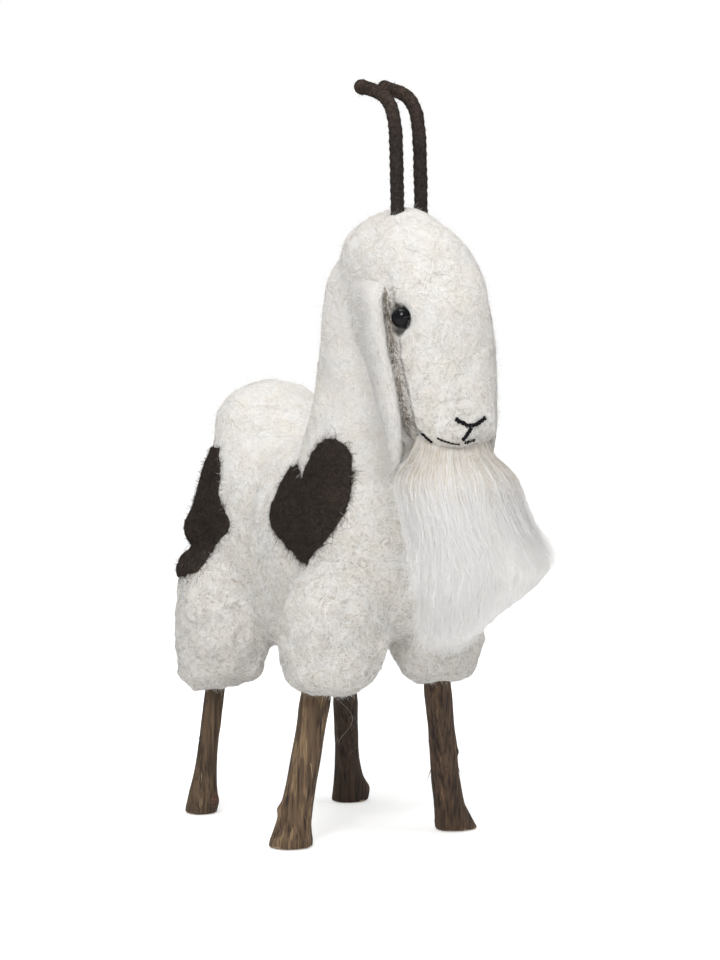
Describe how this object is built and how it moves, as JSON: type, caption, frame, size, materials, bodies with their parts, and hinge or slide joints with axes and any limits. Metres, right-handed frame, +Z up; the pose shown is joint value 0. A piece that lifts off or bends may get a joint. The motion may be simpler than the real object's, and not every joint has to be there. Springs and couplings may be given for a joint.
{
  "type": "felted goat figure",
  "caption": "Standing goat figure of needle-felted white wool on twig legs, with wool-wrapped wire horns, lop ears, bead eyes and a loose combed beard.",
  "frame": {"origin": "on the surface it stands on, under the middle of the goat's bounding box", "axes": "+Z up, -Y the way the goat faces, +X its own left side"},
  "size_m": [0.0574, 0.1249, 0.1813],
  "materials": {
    "white_wool": "needle-felted white wool with a fuzzy nap",
    "beard_wool": "loose combed white wool",
    "dark_wool": "needle-felted dark brown wool",
    "twig": "dry twig with dark bark",
    "wire": "soft craft wire",
    "glass": "glossy opaque black bead",
    "thread": "twisted black cotton thread"
  },
  "bodies": {
    "goat": {"torso_core": "white_wool", "torso_coat": "white_wool", "neck_coat": "white_wool", "head": "white_wool", "tail": "white_wool", "thigh_front_right": "white_wool", "thigh_front_left": "white_wool", "thigh_hind_right": "white_wool", "thigh_hind_left": "white_wool", "heart_patch": "dark_wool", "hip_patch": "dark_wool", "horn_wrap_right": "dark_wool", "horn_wrap_left": "dark_wool", "horn_wire_right": "wire", "horn_wire_left": "wire", "eye_bead_right": "glass", "eye_bead_left": "glass", "eye_shank_right": "wire", "eye_shank_left": "wire", "nose_stitch_bar": "thread", "nose_stitch_stem": "thread", "nose_stitch_foot": "thread", "mouth_stitch_front": "thread", "mouth_stitch_back": "thread", "leg_front_right": "twig", "leg_front_left": "twig", "leg_hind_right": "twig", "leg_hind_left": "twig"},
    "ear_right": {"ear_right": "white_wool"},
    "ear_left": {"ear_left": "white_wool"},
    "beard": {"beard": "beard_wool"}
  },
  "joints": [
    {"name": "ear_right_lift", "type": "hinge", "parent": "goat", "child": "ear_right", "pos_m": [-0.01395, -0.0307, 0.142], "axis": [0, 1, 0], "range_deg": [0, 50], "stiffness_Nm_per_rad": 0.0002},
    {"name": "ear_left_lift", "type": "hinge", "parent": "goat", "child": "ear_left", "pos_m": [0.01205, -0.0287, 0.142], "axis": [0, -1, 0], "range_deg": [0, 50], "stiffness_Nm_per_rad": 0.0002},
    {"name": "beard_swing", "type": "hinge", "parent": "goat", "child": "beard", "pos_m": [-0.00095, -0.0477, 0.097], "axis": [-1, 0, 0], "range_deg": [-12, 30], "stiffness_Nm_per_rad": 0.006, "springref_deg": 1.78}
  ]
}
